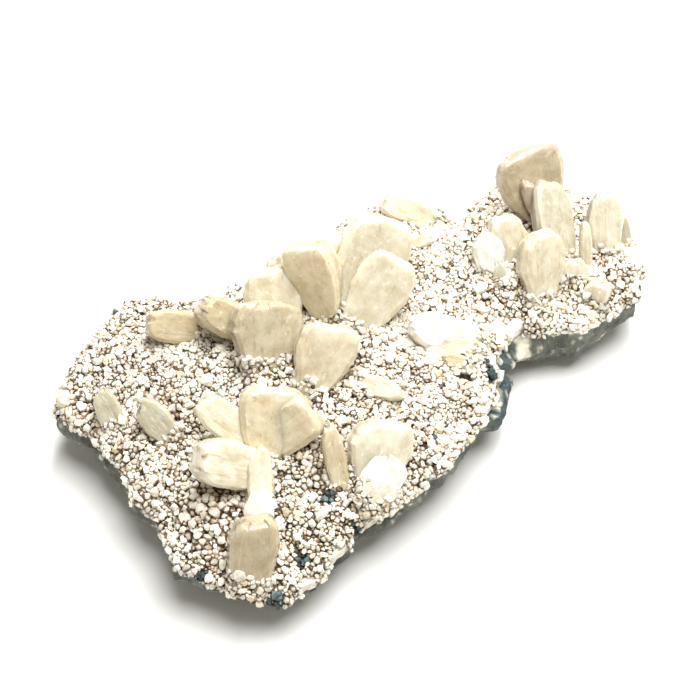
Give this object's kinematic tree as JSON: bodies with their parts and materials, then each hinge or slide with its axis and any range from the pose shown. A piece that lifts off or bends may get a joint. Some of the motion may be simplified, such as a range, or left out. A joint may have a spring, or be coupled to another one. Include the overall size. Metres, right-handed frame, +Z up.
{
  "type": "stilbite crystal specimen on matrix",
  "caption": "Irregular basalt slab with a pale crust of tiny crystals and cream stilbite blades standing on it; rests on a small flat spot underneath.",
  "frame": {"origin": "middle of the flat spot under the slab, on the surface that it rests on", "axes": "+X along the slab's length towards the smaller lobe, +Y across it towards its back edge, +Z up"},
  "size_m": [0.149, 0.091, 0.0442],
  "materials": {
    "basalt": "rough, dark green-grey, hackly broken rock",
    "druse": "white to cream crust of tiny blocky crystals with brown crevices",
    "stilbite": "pearly cream, slightly translucent, finely striated along the blades"
  },
  "bodies": {
    "root": {"basalt_matrix": "basalt", "druse_crust": "druse", "stilbite_centre_cluster": "stilbite", "stilbite_wide_blade": "stilbite", "stilbite_left_blade": "stilbite", "stilbite_bright_blade": "stilbite", "stilbite_front_cluster": "stilbite", "stilbite_front_post": "stilbite", "stilbite_far_cluster": "stilbite", "stilbite_upright_blade": "stilbite", "stilbite_round_blade": "stilbite", "stilbite_pale_pair": "stilbite", "stilbite_low_block": "stilbite", "stilbite_half_sunk_block": "stilbite", "stilbite_back_blade": "stilbite", "stilbite_thin_blade": "stilbite", "stilbite_front_edge_blade": "stilbite", "stilbite_ledge_blade": "stilbite", "stilbite_grey_chip": "stilbite", "stilbite_green_chip": "stilbite", "stilbite_flat_chip": "stilbite", "stilbite_edge_chip": "stilbite"}
  },
  "joints": []
}
